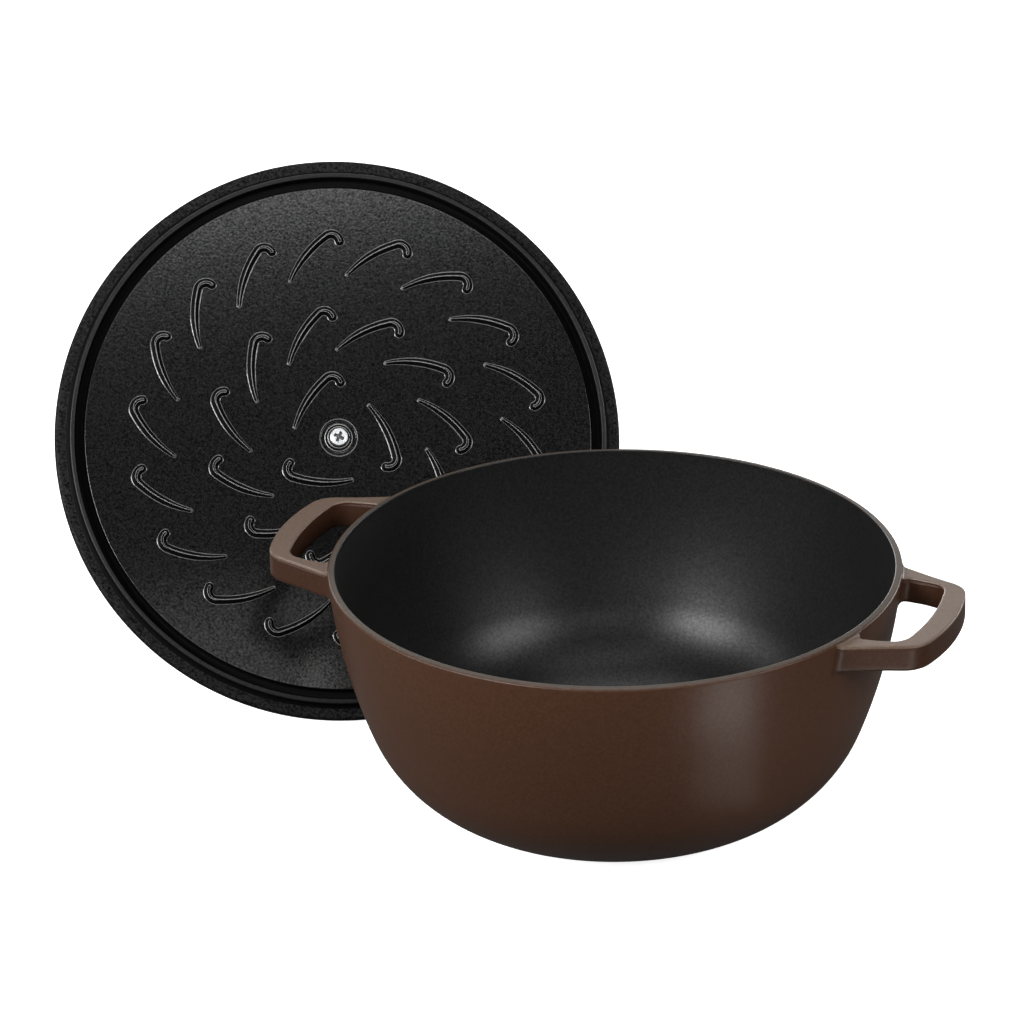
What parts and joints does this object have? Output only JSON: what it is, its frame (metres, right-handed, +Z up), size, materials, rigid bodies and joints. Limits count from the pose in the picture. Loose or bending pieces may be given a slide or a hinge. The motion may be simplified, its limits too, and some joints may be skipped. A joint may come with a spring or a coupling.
{
  "type": "dutch oven",
  "caption": "Round enamelled cast iron dutch oven with two loop handles; its knobbed lid stands beside it with the drip ridges of its underside to the front.",
  "frame": {"origin": "centre of the pot's flat foot, on the surface it stands on", "axes": "+Z up along the pot's axis, +X out through the middle of one loop handle, +Y to the back, where the lid leans"},
  "size_m": [0.479, 0.3333, 0.2347],
  "materials": {
    "brown_enamel": "matt enamel on cast iron, brown outside and black inside",
    "black_enamel": "matt black enamel on cast iron",
    "knob_metal": "brushed nickel plate",
    "screw_steel": "bright zinc plate",
    "washer_steel": "blackened steel"
  },
  "bodies": {
    "pot": {"pot": "brown_enamel"},
    "lid": {"lid": "black_enamel", "knob": "knob_metal", "knob_screw": "screw_steel", "knob_washer": "washer_steel", "lock_washer": "washer_steel"}
  },
  "joints": [
    {"name": "lid_lift", "type": "slide", "parent": "pot", "child": "lid", "axis": [-0.2473, 0.4853, 0.8387], "range_m": [0, 0.16]}
  ]
}
